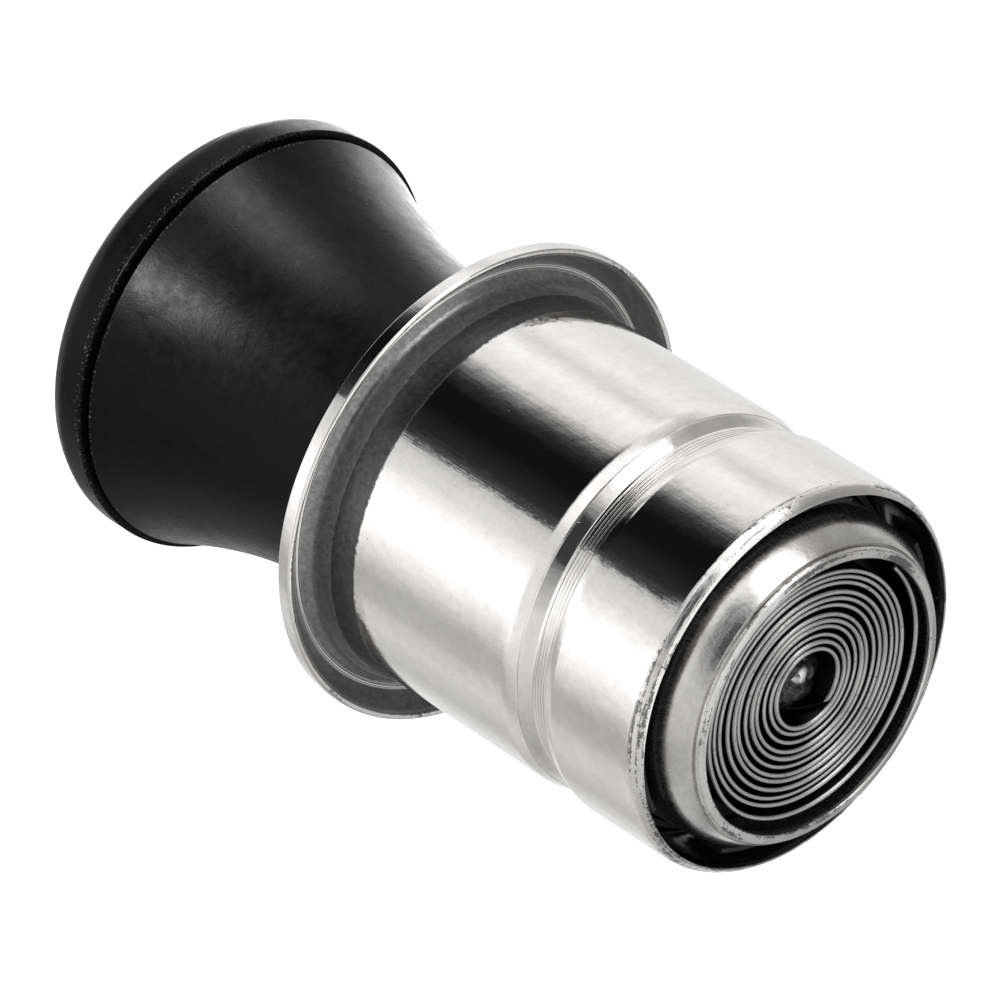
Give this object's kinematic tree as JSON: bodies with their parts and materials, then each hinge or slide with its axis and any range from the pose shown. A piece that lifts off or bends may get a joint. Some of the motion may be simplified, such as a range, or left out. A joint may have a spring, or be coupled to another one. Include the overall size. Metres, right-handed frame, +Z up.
{
  "type": "vehicle lighter plug",
  "caption": "Removable 12 V dashboard lighter plug: flared black knob, flanged nickel sleeve with a bead groove, and a sprung heating coil in a cup.",
  "frame": {"origin": "centre of the flange's seat plane, the face that meets the socket's rim", "axes": "+Y along the plug's axis, into the socket, towards the heating coil; the knob is on the -Y side; +Z up"},
  "size_m": [0.0256, 0.0444, 0.0256],
  "materials": {
    "nickel_shell": "bright nickel plate, fine lengthwise brushing, scratched edges",
    "nickel_cup": "satin nickel plate, slightly stained",
    "heating_ribbon": "grey heat-resistant alloy ribbon, dull",
    "dark_steel": "blackened steel, dull",
    "zinc_steel": "zinc plate",
    "spring_steel": "plain spring wire",
    "knob_black": "black moulded plastic, satin, finely mottled",
    "mica": "pressed mica sheet",
    "ceramic": "unglazed ceramic",
    "burnt_ceramic": "unglazed ceramic, blackened by heat"
  },
  "bodies": {
    "shell": {"sleeve": "nickel_shell", "spring_seat": "zinc_steel", "return_spring": "spring_steel"},
    "slider": {"spring_follower": "zinc_steel"},
    "plunger": {"knob_cap": "knob_black", "knob_body": "knob_black", "knob_insert": "zinc_steel", "knob_lock_washer": "zinc_steel", "knob_nut": "zinc_steel", "stem": "zinc_steel", "carrier_nut": "zinc_steel", "carrier_lock_washer": "zinc_steel", "carrier": "zinc_steel", "heat_shield": "dark_steel", "mica_washer": "mica", "heating_cup": "nickel_cup", "insulating_bush": "ceramic", "ceramic_disc": "burnt_ceramic", "terminal_washer": "zinc_steel", "centre_stud": "dark_steel", "ribbon_coil": "heating_ribbon"}
  },
  "joints": [
    {"name": "push", "type": "slide", "parent": "shell", "child": "slider", "axis": [0, 1, 0], "range_m": [0, 0.0055], "stiffness_N_per_m": 700, "springref_m": -0.004, "deforming": ["return_spring"]},
    {"name": "knob_turn", "type": "hinge", "parent": "slider", "child": "plunger", "pos_m": [0, 0, 0], "axis": [0, 1, 0], "continuous": true}
  ]
}
